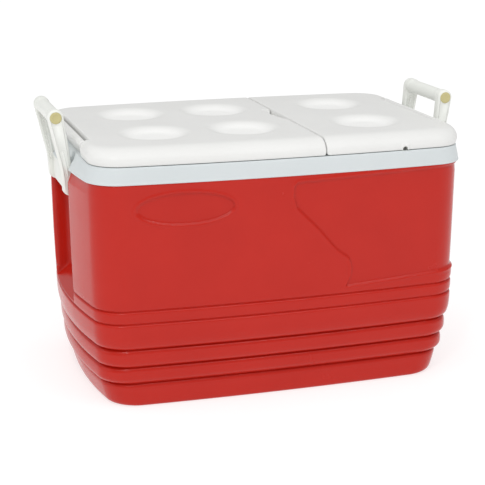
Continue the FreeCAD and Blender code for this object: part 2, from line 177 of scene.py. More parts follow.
def polygon_distance(px, py, poly):
    """Signed distance to a closed polygon, positive inside."""
    best = np.full(px.shape, 1e9)
    inside = np.zeros(px.shape, bool)
    for (ax, ay), (bx, by) in zip(poly, np.roll(poly, -1, axis=0)):
        dx, dy = bx - ax, by - ay
        t = np.clip(((px - ax) * dx + (py - ay) * dy) / (dx * dx + dy * dy), 0.0, 1.0)
        best = np.minimum(best, np.hypot(px - ax - t * dx, py - ay - t * dy))
        cross = (ay > py) != (by > py)
        if dy != 0.0:
            inside ^= cross & (px < (py - ay) * dx / dy + ax)
    return np.where(inside, best, -best)


def arc3(p0, p1, p2, n):
    """Points on the circle through three points."""
    ax, ay = p0
    bx, by = p1
    cx, cy = p2
    d = 2.0 * (ax * (by - cy) + bx * (cy - ay) + cx * (ay - by))
    sa = ax**2 + ay**2
    sb = bx**2 + by**2
    sc = cx**2 + cy**2
    ux = (sa * (by - cy) + sb * (cy - ay) + sc * (ay - by)) / d
    uy = (sa * (cx - bx) + sb * (ax - cx) + sc * (bx - ax)) / d
    r = math.hypot(ax - ux, ay - uy)
    a0 = math.atan2(ay - uy, ax - ux)
    a1 = math.atan2(by - uy, bx - ux)
    a2 = math.atan2(cy - uy, cx - ux)
    span = (a2 - a0) % (2 * math.pi)
    if (a1 - a0) % (2 * math.pi) > span:
        span -= 2 * math.pi
    angles = [a0 + span * i / n for i in range(n + 1)]
    return [(ux + r * math.cos(t), uy + r * math.sin(t)) for t in angles]


def catmull(points, n):
    """Smooth line through points."""
    p = [np.array(q, float) for q in points]
    p = [2 * p[0] - p[1]] + p + [2 * p[-1] - p[-2]]
    out = []
    for i in range(1, len(p) - 2):
        for k in range(n):
            t = k / n
            a = 2 * p[i]
            b = p[i + 1] - p[i - 1]
            c = 2 * p[i - 1] - 5 * p[i] + 4 * p[i + 1] - p[i + 2]
            d = -p[i - 1] + 3 * p[i] - 3 * p[i + 1] + p[i + 2]
            out.append(tuple(0.5 * (a + b * t + c * t * t + d * t * t * t)))
    return out + [tuple(p[-2])]


def mesh_object(name, verts, faces, material, merge=None):
    """New smooth-shaded object from millimetre points."""
    mesh = bpy.data.meshes.new(name)
    mesh.from_pydata((np.asarray(verts) * MM).tolist(), [], faces)
    obj = bpy.data.objects.new(name, mesh)
    bpy.context.scene.collection.objects.link(obj)
    bm = bmesh.new()
    bm.from_mesh(mesh)
    bm.verts.ensure_lookup_table()
    if merge is not None:
        bmesh.ops.remove_doubles(bm, verts=[bm.verts[i] for i in merge], dist=2e-6)
    for face in bm.faces:
        face.smooth = True
    bm.to_mesh(mesh)
    bm.free()
    mesh.materials.append(material)
    return obj


def rings_to_solid(name, rings, material, tips=(True, True), loop=False, flip=False, merge=None):
    """Closed solid through a stack of equal rings, each an (n, 3) array.

    tips closes the first and last ring with a point at their middle; loop joins
    the last ring to the first; merge lists rings that fold onto a line."""
    n = len(rings[0])
    verts = np.vstack(rings)
    faces = []
    pairs = list(zip(range(len(rings) - 1), range(1, len(rings))))
    if loop:
        pairs.append((len(rings) - 1, 0))
    for j, k in pairs:
        for i in range(n):
            m = (i + 1) % n
            faces.append((j * n + i, j * n + m, k * n + m, k * n + i))
    if not loop:
        for side, ring in ((0, 0), (1, len(rings) - 1)):
            if tips[side]:
                centre = rings[ring].mean(axis=0)
                verts = np.vstack((verts, centre))
                c = len(verts) - 1
                for i in range(n):
                    a, b = ring * n + i, ring * n + (i + 1) % n
                    faces.append((b, a, c) if side == 0 else (a, b, c))
    if flip:
        faces = [f[::-1] for f in faces]
    folded = None
    if merge:
        folded = [r * n + i for r in merge for i in range(n)]
    return mesh_object(name, verts, faces, material, folded)


# ---- plan outlines ------------------------------------------------------
def joined(runs):
    """One outline from runs of x and y, as rows of x, y."""
    return np.column_stack([np.concatenate(values) for values in zip(*runs)])


def quarter(a, b, r, bow_x, bow_y):
    """Front-right quarter of a bowed rounded rectangle, as its circles."""
    r1 = (a * a + bow_y * bow_y) / (2.0 * bow_y)
    r2 = (b * b + bow_x * bow_x) / (2.0 * bow_x)
    c1 = np.array((0.0, r1 - b - bow_y))
    c2 = np.array((a + bow_x - r2, 0.0))
    d1, d2 = r1 - r, r2 - r
    gap = c2 - c1
    dist = np.hypot(*gap)
    along = (d1 * d1 - d2 * d2 + dist * dist) / (2.0 * dist)
    off = math.sqrt(d1 * d1 - along * along)
    unit = gap / dist
    normal = np.array((-unit[1], unit[0]))
    p = max((c1 + unit * along + normal * off * s for s in (1, -1)), key=lambda q: q[0] - q[1])
    u1 = (p - c1) / np.hypot(*(p - c1))
    u2 = (p - c2) / np.hypot(*(p - c2))
    return {
        "r": r, "r1": r1, "c1": c1[1], "r2": r2, "c2": c2[0], "p": p,
        "t1": c1 + u1 * r1, "t2": c2 + u2 * r2,
        "a1": math.atan2(u1[1], u1[0]), "a2": math.atan2(u2[1], u2[0]),
    }


def tail(n):
    """Last end columns of a plan, beyond FIXED_Y."""
    return (FIXED_Y + np.arange(1, n + 1) / n).tolist()


def end_heights(v, limit):
    """End columns: plain y up to FIXED_Y, then shares of what is left."""
    size = np.abs(v)
    share = np.clip(size - FIXED_Y, 0.0, 1.0)
    y = np.where(size <= FIXED_Y, size, FIXED_Y + share * (limit - FIXED_Y))
    return np.sign(v) * y


def front_y(q, x):
    return q["c1"] - np.sqrt(q["r1"] ** 2 - x * x)


def end_x(q, y):
    return q["c2"] + np.sqrt(q["r2"] ** 2 - y * y)


def corner_xy(q, f):
    ang = q["a1"] + f * (q["a2"] - q["a1"])
    return q["p"][0] + q["r"] * np.cos(ang), q["p"][1] + q["r"] * np.sin(ang)


class Plan:
    """Columns round a whole outline, counterclockwise from the front left."""

    def __init__(self, front_n, back_n, corner_n, end_y):
        inner = np.arange(1, corner_n) / corner_n
        ends = np.array(end_y)
        self.front = np.linspace(-1, 1, front_n)
        self.back = np.linspace(1, -1, back_n)
        self.f = inner
        self.end = np.concatenate((-ends[::-1], ends[1:]))

    def ring(self, a, b, r, bow_x, bow_y):
        q = quarter(a, b, r, bow_x, bow_y)
        xf = self.front * q["t1"][0]
        xb = self.back * q["t1"][0]
        ye = end_heights(self.end, abs(q["t2"][1]))
        cx, cy = corner_xy(q, self.f)
        parts = (
            (xf, front_y(q, xf)), (cx, cy), (end_x(q, ye), ye), (cx[::-1], -cy[::-1]),
            (xb, -front_y(q, xb)), (-cx, -cy), (-end_x(q, ye), -ye), (-cx[::-1], cy[::-1]),
        )
        return joined(parts)


def lift(xy, z):
    """Flat ring raised to height z, a number or one value per column."""
    return np.column_stack((xy, np.broadcast_to(z, len(xy))))


def shell_ring(plan, inset, z):
    ease = min(inset, 26.0) / 26.0
    rise = max(0.0, z - 350.0) / (BODY_TOP - 350.0)
    a = BODY_A - 0.88 * inset + np.interp(z, *np.transpose(END_SWELL)) + 1.0 * rise
    b = BODY_B - 0.87 * inset
    return plan.ring(a, b, CORNER_R, END_BOW - 5.0 * ease - 9.0 * rise, SIDE_BOW - 5.5 * ease)


# ---- materials ----------------------------------------------------------
def material(name, build):
    mat = bpy.data.materials.new(name)
    mat.use_nodes = True
    nodes = mat.node_tree.nodes
    links = mat.node_tree.links
    shader = nodes["Principled BSDF"]
    build(nodes, links, shader)
    return mat


def noise_node(nodes, links, scale, detail=2.0, rough=0.5, stretch=(1, 1, 1)):
    coords = nodes.new("ShaderNodeTexCoord")
    mapping = nodes.new("ShaderNodeMapping")
    mapping.inputs["Scale"].default_value = stretch
    tex = nodes.new("ShaderNodeTexNoise")
    tex.inputs["Scale"].default_value = scale
    tex.inputs["Detail"].default_value = detail
    tex.inputs["Roughness"].default_value = rough
    links.new(coords.outputs["Object"], mapping.inputs["Vector"])
    links.new(mapping.outputs["Vector"], tex.inputs["Vector"])
    return tex.outputs["Fac"]


def ramp_node(nodes, links, source, stops):
    ramp = nodes.new("ShaderNodeValToRGB")
    items = ramp.color_ramp.elements
    while len(items) < len(stops):
        items.new(0.5)
    for item, (pos, value) in zip(items, stops):
        item.position = pos
        item.color = (value, value, value, 1) if isinstance(value, float) else (*value, 1)
    links.new(source, ramp.inputs["Fac"])
    return ramp.outputs["Color"]


def mix_color(nodes, links, fac, a, b, mode="MIX"):
    mix = nodes.new("ShaderNodeMix")
    mix.data_type = "RGBA"
    mix.blend_type = mode
    for sock, value in ((mix.inputs["Factor"], fac), (mix.inputs["A"], a), (mix.inputs["B"], b)):
        if isinstance(value, bpy.types.NodeSocket):
            links.new(value, sock)
        else:
            sock.default_value = value if isinstance(value, float) else (*value, 1)
    return mix.outputs["Result"]


def painted_dish_light_mask(nodes, links):
    """White inside the drink dishes, black elsewhere; it places the painted light that brightens the dishes.
    """
    coords = nodes.new("ShaderNodeTexCoord")
    flat = nodes.new("ShaderNodeVectorMath")
    flat.operation = "MULTIPLY"
    flat.inputs[1].default_value = (1.0, 1.0, 0.0)
    links.new(coords.outputs["Object"], flat.inputs[0])
    nearest = None
    for x in LEFT_DISH_X + RIGHT_DISH_X:
        for y in (-DISH_Y, DISH_Y):
            gap = nodes.new("ShaderNodeVectorMath")
            gap.operation = "DISTANCE"
            gap.inputs[1].default_value = (x * MM, y * MM, 0.0)
            links.new(flat.outputs["Vector"], gap.inputs[0])
            if nearest is None:
                nearest = gap.outputs["Value"]
                continue
            least = nodes.new("ShaderNodeMath")
            least.operation = "MINIMUM"
            links.new(nearest, least.inputs[0])
            links.new(gap.outputs["Value"], least.inputs[1])
            nearest = least.outputs["Value"]
    edge = nodes.new("ShaderNodeMapRange")
    edge.interpolation_type = "SMOOTHSTEP"
    for key, value in (("From Min", 0.036), ("From Max", 0.0615), ("To Min", 1.0), ("To Max", 0.0)):
        edge.inputs[key].default_value = value
    links.new(nearest, edge.inputs["Value"])
    return edge.outputs["Result"]


def plastic(base, shade, worn, rough, grain=1.0, specular=0.4, dish=None):
    """Moulded plastic: cloudy pigment, fine peel, faint scuffs; a dish tint is painted light that brightens
    the drink dishes.
    """
    def build(nodes, links, shader):
        clouds = noise_node(nodes, links, 9.0, 4.0, 0.6)
        cloud = ramp_node(nodes, links, clouds, ((0.3, 0.0), (0.75, 1.0)))
        color = mix_color(nodes, links, cloud, base, shade)
        # painted light: the drink dishes get a lighter colour in place of the brighter light that falls in
        # them
        if dish:
            color = mix_color(nodes, links, painted_dish_light_mask(nodes, links), color, dish)
        specks = noise_node(nodes, links, 420.0, 2.0)
        speck = ramp_node(nodes, links, specks, ((0.58, 0.0), (0.72, 0.35)))
        color = mix_color(nodes, links, speck, color, shade)
        streaks = noise_node(nodes, links, 60.0, 6.0, 0.7, (1, 1, 7))
        streak = ramp_node(nodes, links, streaks, ((0.66, 0.0), (0.74, 0.5)))
        patches = noise_node(nodes, links, 5.0, 2.0)
        patch = ramp_node(nodes, links, patches, ((0.5, 0.0), (0.68, 1.0)))
        scuff = mix_color(nodes, links, 1.0, streak, patch, "MULTIPLY")
        color = mix_color(nodes, links, scuff, color, worn)
        links.new(color, shader.inputs["Base Color"])
        span = 0.06
        rough_map = ramp_node(nodes, links, noise_node(nodes, links, 14.0, 5.0, 0.65),
                              ((0.3, rough - span), (0.72, rough + span)))
        links.new(rough_map, shader.inputs["Roughness"])
        shader.inputs["Specular IOR Level"].default_value = specular
        peel = nodes.new("ShaderNodeBump")
        peel.inputs["Strength"].default_value = 0.22 * grain
        peel.inputs["Distance"].default_value = 0.0004
        links.new(noise_node(nodes, links, 700.0, 3.0, 0.55), peel.inputs["Height"])
        wave = nodes.new("ShaderNodeBump")
        wave.inputs["Strength"].default_value = 0.12 * grain
        wave.inputs["Distance"].default_value = 0.003
        links.new(noise_node(nodes, links, 22.0, 2.0), wave.inputs["Height"])
        links.new(wave.outputs["Normal"], peel.inputs["Normal"])
        links.new(peel.outputs["Normal"], shader.inputs["Normal"])
    return build


def foam(nodes, links, shader):
    cells = nodes.new("ShaderNodeTexVoronoi")
    cells.inputs["Scale"].default_value = 260.0
    coords = nodes.new("ShaderNodeTexCoord")
    links.new(coords.outputs["Object"], cells.inputs["Vector"])
    tone = ramp_node(nodes, links, cells.outputs["Distance"],
                     ((0.0, (0.78, 0.68, 0.42)), (0.6, (0.9, 0.84, 0.62))))
    links.new(tone, shader.inputs["Base Color"])
    shader.inputs["Roughness"].default_value = 0.9
    bump = nodes.new("ShaderNodeBump")
    bump.inputs["Strength"].default_value = 0.5
    bump.inputs["Distance"].default_value = 0.001
    links.new(cells.outputs["Distance"], bump.inputs["Height"])
    links.new(bump.outputs["Normal"], shader.inputs["Normal"])


def steel(nodes, links, shader):
    grain = noise_node(nodes, links, 300.0, 4.0, 0.6, (1, 0.04, 1))
    tone = ramp_node(nodes, links, grain, ((0.3, (0.42, 0.42, 0.43)), (0.7, (0.6, 0.6, 0.6))))
    links.new(tone, shader.inputs["Base Color"])
    shader.inputs["Metallic"].default_value = 1.0
    links.new(ramp_node(nodes, links, grain, ((0.2, 0.28), (0.8, 0.42))), shader.inputs["Roughness"])


# pigment, its darker clouds, scuffs; roughness, grain, specular level, dish tint (painted light: a lighter
# colour in the drink dishes)
RED = material("red_shell_plastic", plastic(
    (0.515, 0.0155, 0.007), (0.48, 0.013, 0.0055), (0.61, 0.05, 0.035), 0.22, 1.0, 0.28))
COLLAR = material("collar_plastic", plastic(
    (0.665, 0.705, 0.715), (0.635, 0.68, 0.69), (0.58, 0.60, 0.58), 0.42, 0.7, 0.35))
# the lid's last colour is painted light, a lighter tint inside the drink dishes
LID = material("lid_plastic", plastic(
    (0.80, 0.80, 0.785), (0.77, 0.77, 0.755), (0.70, 0.69, 0.65), 0.40, 0.8, 0.3, (0.91, 0.91, 0.895)))
HANDLE = material("handle_plastic", plastic(
    (0.86, 0.87, 0.83), (0.82, 0.835, 0.785), (0.74, 0.74, 0.68), 0.42, 0.8, 0.4))
CREAM = material("core_plastic", plastic(
    (0.60, 0.54, 0.27), (0.54, 0.48, 0.22), (0.50, 0.45, 0.24), 0.5, 1.0, 0.35))
LINER = material("liner_plastic", plastic(
    (0.84, 0.84, 0.83), (0.81, 0.81, 0.80), (0.76, 0.76, 0.73), 0.35, 0.6, 0.4))
FOAM = material("insulation_foam", foam)
STEEL = material("drawn_steel", steel)


def carry(node, mat):
    """Keep a CAD node and give all of its slots one finish."""
    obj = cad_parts[node]
    if not obj.material_slots:
        obj.data.materials.append(mat)
    for item in obj.material_slots:
        item.material = mat


def place(obj, body, node):
    """Stand a piece in for a CAD node, on its body."""
    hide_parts(node)
    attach(obj, body)


# ---- red shell ----------------------------------------------------------
# distance from the middle plane, and how fully the bay is sunk there
BAY_EDGE_Y = (74.0, 76.5, 78.2, 79.2, 79.6, 79.8, 80.0, 80.2, 80.8, 82.2, 84.0)
BAY_EDGE_S = (1.0, 0.99, 0.94, 0.82, 0.65, 0.5, 0.35, 0.2, 0.08, 0.02, 0.0)


def bay_floor(z, grow):
    """Half length of the bay's back wall and sloped ledge at height z."""
    below = BAY_LEDGE_Z - grow - z
    drop = max(0.0, below)
    if abs(below) < BAY_LEDGE_SOFT:
        drop = BAY_LEDGE_SOFT * (below / BAY_LEDGE_SOFT + 1.0) ** 2 / 4.0
    return BAY_X - grow + drop * BAY_LEDGE_RUN / BAY_LEDGE_RISE


def with_bays(xy, z, grow=0.0):
    """Press the handle bays into both ends of a ring."""
    x, y = xy[:, 0].copy(), xy[:, 1]
    share = np.interp(np.abs(y) - grow, BAY_EDGE_Y, BAY_EDGE_S)
    size = np.abs(x)
    at_end = size > 240.0
    deep = np.minimum(size, bay_floor(z, grow))
    x = np.where(at_end, np.sign(x) * (size + share * (deep - size)), x)
    return np.column_stack((x, y))


def sweep_polygon():
    """Outline of the sunk sweep in x and z; its far end lies past the corner."""
    pts = arc3((9, 346), (11.5, 353.5), (19, 357), 6)
    pts += [(400, 369), (400, 195), (98, 180)]
    pts += arc3((106, 194), (108.5, 211), (102, 228), 8)
    pts += catmull([(102, 228), (82, 243), (48, 281), (14, 315)], 8)[1:]
    pts += [(9, 332)]
    return np.array(pts, float)


def lip(inside):
    """A slight swelling just outside the edge of a pressed panel."""
    return LIP_SHARE * np.exp(-((inside + 2.4) / 1.5)**2)


def panel_mask(x, y, z):
    """How far each point is pressed in: 1 in a panel, 0 off it, under 0 on a lip."""
    g = np.hypot((x - OVAL_X) / OVAL_A, (z - OVAL_Z) / OVAL_B)
    slope = np.hypot((x - OVAL_X) / OVAL_A**2, (z - OVAL_Z) / OVAL_B**2) / np.maximum(g, 1e-3)
    oval = (1.0 - g) / np.maximum(slope, 1e-4)
    front = y < -WALL_Y
    mask = np.where(front, smooth01((oval + 0.3) / 1.8) - lip(oval), 0.0)
    sweep = polygon_distance(x, z, sweep_polygon())
    pressed = (smooth01((sweep + 0.3) / 2.0) - lip(sweep)) * smooth01((-108.0 - y) / 4.0)
    return np.where(x > 0.0, pressed, mask)


def build_shell():
    end_y = [0, 12, 24, 36, 48, 58, 66, 71, *BAY_EDGE_Y, 87, 91, 96, 100, 104, 106, 108, 110, 112, 115,
             118.5, 122, *tail(7)]
    plan = Plan(311, 91, 26, end_y)
    lower = rounded([p for p in SHELL_PROFILE if p[0] <= 190.0], 2)
    upper = np.array([p for p in SHELL_PROFILE if p[0] >= 190.0])
    rows = np.vstack((refined(lower, 1.8), refined(upper, 2.0)[1:]))
    outer = [shell_ring(plan, inset, z) for z, inset in rows]
    pressed = [shell_ring(plan, inset + PANEL_DEPTH, z) for z, inset in rows]
    flat = np.array(outer)
    deep = np.array(pressed)
    heights = np.repeat(rows[:, 0:1], flat.shape[1], axis=1)
    live = rows[:, 0] > 172.0
    mask = np.zeros(heights.shape)
    mask[live] = panel_mask(flat[live][:, :, 0], flat[live][:, :, 1], heights[live])
    skin = flat + (deep - flat) * mask[:, :, None]
    wall = [lift(with_bays(xy, z), z) for xy, z in zip(skin, rows[:, 0])]
    under = [lift(outer[0] * s, 0.0) for s in (0.03, 0.3, 0.6, 0.85, 0.96)]
    inner = []
    for z, inset in refined(np.array(INNER_PROFILE), 12.0):
        inner.append(lift(with_bays(shell_ring(plan, inset, z), z, SHELL_T), z))
    floor = [lift(shell_ring(plan, 33.6, SHELL_T) * s, SHELL_T) for s in (0.9, 0.6, 0.3, 0.03)]
    shell = rings_to_solid("red_shell", under + wall + inner + floor, RED)
    place(shell, "chest", "outer_shell")


# ---- collar -------------------------------------------------------------
# distance from the middle plane, and how fully a handle slot is sunk there
SLOT_Y = (58.8, 59.8, 60.2, 60.4, 60.6, 61.0, 62.0, 75.6, 75.9, 76.2, 76.5, 77.1, 78.3)
SLOT_S = (0.0, 0.06, 0.25, 0.5, 0.75, 0.94, 1.0, 1.0, 0.85, 0.5, 0.18, 0.05, 0.0)


def with_slots(xy):
    """Press the two slots for the handle arms into each end of a ring."""
    x, y = xy[:, 0].copy(), xy[:, 1]
    share = np.interp(np.abs(y), SLOT_Y, SLOT_S)
    size = np.abs(x)
    deep = np.minimum(size, 305.0)
    return np.column_stack((np.sign(x) * (size + share * (deep - size)), y))


def build_collar():
    end_y = [0, 12, 24, 36, 48, 54, *SLOT_Y[:7], 66, 70, 73, *SLOT_Y[7:], 82, 86, 92, 98, 106, 114, 122,
             *tail(5)]
    plan = Plan(181, 91, 26, end_y)
    outside = rounded((
        (BODY_TOP, -2.2, 206.1, 19.0), (BODY_TOP, -0.3, 208.0, 19.0), (368.6, 0.5, 208.6, 19.0),
        (370.6, 0.5, 208.6, 18.0), (372.2, 0.0, 207.9, 16.8), (376.0, 0.6, 208.2, 14.8),
        (386.0, 0.8, 208.2, 7.0), (391.0, 0.8, 208.2, 5.0), (393.4, 0.6, 207.9, 4.4),
        (394.7, -0.2, 207.1, 4.4), (COLLAR_TOP, -2.0, 205.3, 4.4),
    ), 2)
    rings = []
    for z, a, b, bow in outside:
        rings.append(lift(with_slots(plan.ring(COLLAR_A + a, b, COLLAR_R, bow, SIDE_BOW)), z))
    top = COLLAR_TOP
    mouth = ((top, 286, 193, 46, 2, 9.2), (top, 273, 182, 43, 3, 8.2), (top, 271.4, 180.4, 42.5, 3, 8),
             (top - 0.3, 270.2, 179.2, 42, 3, 8), (top - 0.9, 269.4, 178.4, 42, 3, 8),
             (top - 1.8, 269, 178, 42, 3, 8), (top - SKIN_T, 269, 178, 42, 3, 8))
    rings += [lift(plan.ring(*m[1:]), m[0]) for m in mouth]
    hidden = plan.ring(298.0, 205.5, 46, 1.0, SIDE_BOW)
    rings += [lift(hidden, top - SKIN_T), lift(hidden, BODY_TOP)]
    ring = rings_to_solid("collar_ring", rings, COLLAR, loop=True)
    place(ring, "chest", "rim_collar")
    for name, side in (("left", -1), ("right", 1)):
        build_apron(name, side)
        build_rail(name, side)


def side_loft(name, outline_xz, ys, insets, mat, side):
    """Rounded slab: an XZ outline carried along Y with inset end rings."""
    pts = np.array(outline_xz, float)
    nxt = np.roll(pts, -1, axis=0)
    prv = np.roll(pts, 1, axis=0)
    tangent = nxt - prv
    tangent /= np.hypot(tangent[:, 0], tangent[:, 1])[:, None]
    inward = np.column_stack((-tangent[:, 1], tangent[:, 0]))
    area = 0.5 * np.sum(pts[:, 0] * nxt[:, 1] - nxt[:, 0] * pts[:, 1])
    if area < 0:
        inward = -inward
    rings = []
    for y, inset in zip(ys, insets):
        p = pts + inward * inset
        rings.append(np.column_stack((p[:, 0] * side, np.full(len(p), y), p[:, 1])))
    flip = (area > 0) == (side > 0)
    return rings_to_solid(name, rings, mat, flip=not flip)


def dense(points, step):
    """Closed outline with extra points along its longer runs."""
    out = []
    for a, b in zip(points, np.roll(points, -1, axis=0)):
        n = max(1, int(math.ceil(np.hypot(*(b - a)) / step)))
        out += [a + (b - a) * i / n for i in range(n)]
    return np.array(out)


def cut_corners(points, passes, reach):
    """Round the corners of a closed outline, at most reach along each side."""
    p = np.array(points, float)
    for _ in range(passes):
        out = []
        for i in range(len(p)):
            for q in (p[i - 1], p[(i + 1) % len(p)]):
                d = np.hypot(*(q - p[i]))
                out.append(p[i] + (q - p[i]) * min(0.3, reach / max(d, 1e-6)))
        p = np.array(out)
        reach *= 0.5
    return p


# distance from a slab's end, and how far its outline stands in there
END_Y_INSETS = ((0.0, 2.4), (0.12, 1.5), (0.45, 0.75), (0.95, 0.28), (1.6, 0.05), (2.4, 0.0))


def capped_span(y0, y1, scale=1.0):
    """Y stations and insets for a slab with rounded end edges."""
    start = [(y0 + d * scale, i * scale) for d, i in END_Y_INSETS]
    stop = [(y1 - d * scale, i * scale) for d, i in END_Y_INSETS[::-1]]
    middle = [(y0 + (y1 - y0) * t, 0.0) for t in (0.2, 0.35, 0.5, 0.65, 0.8)]
    full = start + middle + stop
    return [p[0] for p in full], [p[1] for p in full]


def build_apron(name, side):
    points = np.array((
        (BAY_X + 0.3, APRON_BOTTOM), (315.0, APRON_BOTTOM), (319.0, APRON_BOTTOM + 4),
        (320.6, APRON_BOTTOM + 14), (320.6, BODY_TOP + 1.5), (BAY_X + 0.3, BODY_TOP + 1.5),
    ))
    outline = dense(cut_corners(points, 2, 1.6), 3.0)
    ys, insets = capped_span(-APRON_HALF, APRON_HALF)
    apron = side_loft(name + "_handle_block", outline, ys, insets, HANDLE, side)
    place(apron, "chest", "rim_collar")


def build_rail(name, side):
    """Round bar on a thin web, as one keyhole outline."""
    web0 = HINGE_X - RAIL_R + 0.4
    web1 = HINGE_X - RAIL_R + 4.0
    start = -math.pi + math.acos((HINGE_X - web1) / RAIL_R)
    stop = math.pi + math.acos((HINGE_X - web0) / RAIL_R)
    turns = np.linspace(start, stop, 40)
    bar = [(HINGE_X + RAIL_R * math.cos(t), HINGE_Z + RAIL_R * math.sin(t)) for t in turns]
    outline = dense(np.array([(web0, COLLAR_TOP - 1.5), (web1, COLLAR_TOP - 1.5), *bar]), 2.5)
    ys, insets = capped_span(-RAIL_HALF, RAIL_HALF, 0.6)
    rail = side_loft(name + "_hinge_rail", outline, ys, insets, LID, side)
    place(rail, "chest", "rim_collar")


# ---- lids ---------------------------------------------------------------
# height, inset in front, inset at the end, inset at the parting line
LID_ROWS = (
    (LID_BOTTOM, 2.0, 3.9, 1.2), (LID_BOTTOM, 1.2, 3.1, 0.6), (396.7, 0.7, 2.6, 0.15),
    (398.6, 0.4, 1.8, 0.0), (403.0, 0.3, 0.5, 0.0), (409.0, 2.4, 0.0, 0.0), (414.0, 6.4, 1.0, 0.0),
    (418.0, 12.0, 3.0, 0.2), (420.8, 18.0, 5.8, 1.1), (422.0, 23.0, 8.2, 2.4),
    (LID_TOP, 28.0, 10.5, 4.4),
)
# distance from the middle plane, and how fully the hinge notch is cut there
NOTCH_Y = (116.4, 117.0, 117.4, 117.6, 117.8, 118.2, 119.2)
NOTCH_S = (1.0, 0.97, 0.8, 0.5, 0.2, 0.04, 0.0)


class LidPlan:
    """Columns round one lid in (u, y): u points from the middle to its end."""

    def __init__(self, seam, front_n, corner_n, end_y, seam_n, extra=()):
        self.seam = seam
        f = np.linspace(0, 1, front_n)
        if len(extra):
            f = np.array([v for v in f if not extra[0] - 0.004 < v < extra[-1] + 0.004])
            f = np.sort(np.concatenate((f, extra)))
        self.front = f
        self.corner = np.arange(1, corner_n) / corner_n
        ends = np.array(end_y)
        self.end = np.concatenate((-ends[::-1], ends[1:]))
        self.side = np.linspace(1, -1, seam_n)
        self.fillet = np.linspace(0, math.pi / 2, 6)[1:-1]

    def ring(self, in_y, in_x, in_s, grow=0.0):
        q = quarter(LID_A - in_x - grow, LID_B - in_y - grow, LID_R - 0.25 * in_y, 1.2, SIDE_BOW)
        seam = self.seam + in_s + grow
        c = 2.6
        u0 = seam + c
        uf = u0 + (q["t1"][0] - u0) * self.front
        ye = end_heights(self.end, abs(q["t2"][1]))
        cx, cy = corner_xy(q, self.corner)
        y0 = float(front_y(q, np.array(u0)))
        share = np.interp(np.abs(ye) - grow, NOTCH_Y, NOTCH_S)
        xe = end_x(q, ye)
        flat = np.minimum(xe, NOTCH_X - grow - in_s)
        xe = xe + share * (flat - xe)
        ys = self.side * (-y0 - c)
        fu = u0 - c * np.sin(self.fillet)
        fy = -y0 - c + c * np.cos(self.fillet)
        parts = (
            (uf, front_y(q, uf)), (cx, cy), (xe, ye), (cx[::-1], -cy[::-1]),
            (uf[::-1], -front_y(q, uf[::-1])), (fu, fy), (np.full(len(ys), seam), ys),
            (fu[::-1], -fy[::-1]),
        )
        return joined(parts)

    def core(self):
        """Inner outline that the rings shrink to before they fold up."""
        q = quarter(262.0, 160.0, 30.0, 1.2, 6.0)
        u0 = self.seam + 12.0
        uf = u0 + (q["t1"][0] - u0) * self.front
        ye = end_heights(self.end, abs(q["t2"][1]))
        cx, cy = corner_xy(q, self.corner)
        y0 = float(front_y(q, np.array(u0)))
        ys = self.side * (-y0 - 2.0)
        m = len(self.fillet)
        fu = np.full(m, u0)
        fy = np.linspace(-y0, -y0 - 2.0, m + 2)[1:-1]
        parts = (
            (uf, front_y(q, uf)), (cx, cy), (end_x(q, ye), ye), (cx[::-1], -cy[::-1]),
            (uf[::-1], -front_y(q, uf[::-1])), (fu, fy), (np.full(len(ys), u0), ys), (fu, -fy[::-1]),
        )
        return joined(parts)

    def spine(self, ring):
        """The line along the lid's middle that the rings fold up to."""
        low, high = self.seam + 60.0, 190.0
        return np.column_stack((np.clip(ring[:, 0], low, high), np.zeros(len(ring))))

    def inward(self, ring, n_edge, n_core):
        """Rings from a shoulder ring to the core and on to the spine."""
        core = self.core()
        fold = self.spine(core)
        out = [ring + (core - ring) * t for t in np.linspace(0, 1, n_edge)[1:]]
        return out + [core + (fold - core) * t for t in np.linspace(0, 1, n_core)[1:]]


def scoop_polygon():
    """Outline of the finger scoop in x and y, at the parting line."""
    pts = arc3((64.5, -56), (48, 6), (45, 60), 14)
    pts += [(64.5, 63), (84, 63), (84, -56)]
    return np.array(pts, float)


def lid_drop(u, y, dishes, scoop, grow):
    """Depth of the lid's face below its flat, in millimetres."""
    drop = np.zeros(u.shape)
    for du in dishes:
        for dy in (-DISH_Y, DISH_Y):
            rho = np.hypot(u - du, y - dy) - grow
            dish = DISH_DEPTH * smooth01((DISH_R - rho) / DISH_SLOPE)
            drop = np.maximum(drop, dish)
    if scoop:
        dist = polygon_distance(-u, y, scoop_polygon()) + grow
        drop = np.maximum(drop, SCOOP_DEPTH * smooth01((dist + 1.0) / 3.2))
    return drop


def lid_foot(u, y, seam, arch):
    """Height of the skirt's lower edge above the lids' lowest level."""
    s = np.abs(u - seam)
    r = 4.0
    rise = np.where(s < r, r - np.sqrt(np.maximum(0.0, r * r - (r - s) ** 2)), 0.0)
    rise = np.where(np.abs(y) > WALL_Y, rise, 0.0)
    if arch:
        d = np.abs(u - arch)
        hole = 1.4 + np.sqrt(np.maximum(0.0, ARCH_R**2 - d * d))
        rise = np.where((d < ARCH_R) & (y < -WALL_Y), hole, rise)
    return rise


